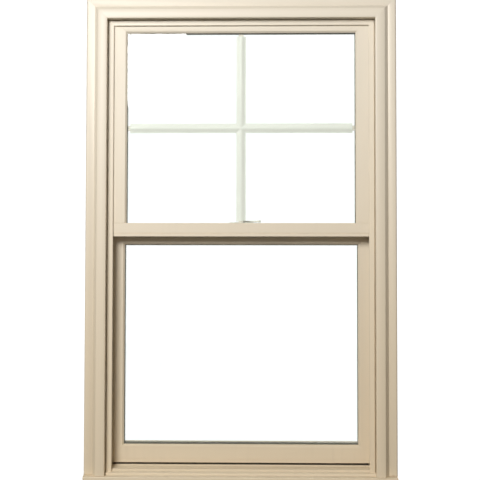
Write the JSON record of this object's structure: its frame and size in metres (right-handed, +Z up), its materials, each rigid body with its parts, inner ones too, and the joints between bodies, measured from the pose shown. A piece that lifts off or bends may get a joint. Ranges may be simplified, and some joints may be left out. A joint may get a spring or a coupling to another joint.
{
  "type": "sash window",
  "caption": "Double-hung sash window in its casing: two sliding sashes with sealed double glazing and a cross grille in the upper glass.",
  "frame": {"origin": "middle of the sill's underside, in the wall plane that the casing's back lies on", "axes": "+X to the right seen from outdoors, +Y indoors, +Z up"},
  "size_m": [0.8128, 0.124, 1.27],
  "materials": {
    "casing_vinyl": "satin extruded vinyl, almond",
    "frame_vinyl": "satin extruded vinyl, almond",
    "sash_vinyl": "satin extruded vinyl, almond",
    "hardware": "moulded, painted to match",
    "glass": "clear float glass",
    "spacer_bar": "mill-finish spacer with grey sealant",
    "grille_paint": "painted rolled aluminium",
    "pile": "grey brush pile",
    "rubber": "black extruded rubber",
    "steel": "zinc plated",
    "tube_plastic": "white tube"
  },
  "bodies": {
    "frame": {"frame_head": "frame_vinyl", "frame_sill": "frame_vinyl", "frame_jamb_left": "frame_vinyl", "frame_jamb_right": "frame_vinyl", "casing_head": "casing_vinyl", "casing_left": "casing_vinyl", "casing_right": "casing_vinyl", "sill_nose": "casing_vinyl", "nose_end_caps": "casing_vinyl", "upper_balance_tubes": "tube_plastic", "lower_balance_tubes": "tube_plastic", "tube_screws": "steel"},
    "upper_sash": {"upper_top_rail": "sash_vinyl", "upper_stile_left": "sash_vinyl", "upper_stile_right": "sash_vinyl", "meeting_rail": "sash_vinyl", "upper_pane_outer": "glass", "upper_pane_inner": "glass", "upper_spacer": "spacer_bar", "grille_upright": "grille_paint", "grille_bar": "grille_paint", "grille_clips": "grille_paint", "upper_bead_top": "sash_vinyl", "upper_bead_left": "sash_vinyl", "upper_bead_right": "sash_vinyl", "upper_setting_blocks": "rubber", "upper_pile_strips": "pile", "upper_top_seal": "rubber", "lock_keeper": "hardware", "keeper_screws": "steel", "vent_housing_left": "hardware", "vent_housing_right": "hardware", "upper_balance_rods": "steel", "upper_rod_feet": "steel", "upper_foot_screws": "steel"},
    "lower_sash": {"lower_check_rail": "sash_vinyl", "lower_stile_left": "sash_vinyl", "lower_stile_right": "sash_vinyl", "lower_bottom_rail": "sash_vinyl", "lower_pane_outer": "glass", "lower_pane_inner": "glass", "lower_spacer": "spacer_bar", "lower_bead_top": "sash_vinyl", "lower_bead_bottom": "sash_vinyl", "lower_bead_left": "sash_vinyl", "lower_bead_right": "sash_vinyl", "lower_setting_blocks": "rubber", "lower_pile_strips": "pile", "lower_bulb_seal": "rubber", "lock_housing": "hardware", "lock_screws": "steel", "lower_balance_rods": "steel", "lower_rod_feet": "steel", "lower_foot_screws": "steel"},
    "lock_cam": {"lock_cam": "hardware"},
    "vent_tongue_left": {"vent_tongue_left": "hardware"},
    "vent_tongue_right": {"vent_tongue_right": "hardware"}
  },
  "joints": [
    {"name": "lower_slide", "type": "slide", "parent": "frame", "child": "lower_sash", "axis": [0, 0, 1], "range_m": [0, 0.5]},
    {"name": "upper_slide", "type": "slide", "parent": "frame", "child": "upper_sash", "axis": [0, 0, -1], "range_m": [0, 0.5]},
    {"name": "lock_turn", "type": "hinge", "parent": "lower_sash", "child": "lock_cam", "pos_m": [0, 0.047, 0.6764], "axis": [0, 0, -1], "range_deg": [-180, 0]},
    {"name": "vent_stop_left", "type": "hinge", "parent": "upper_sash", "child": "vent_tongue_left", "pos_m": [-0.3265, 0.0285, 0.801], "axis": [-1, 0, 0], "range_deg": [-35, 0]},
    {"name": "vent_stop_right", "type": "hinge", "parent": "upper_sash", "child": "vent_tongue_right", "pos_m": [0.3265, 0.0285, 0.801], "axis": [-1, 0, 0], "range_deg": [-35, 0]}
  ]
}
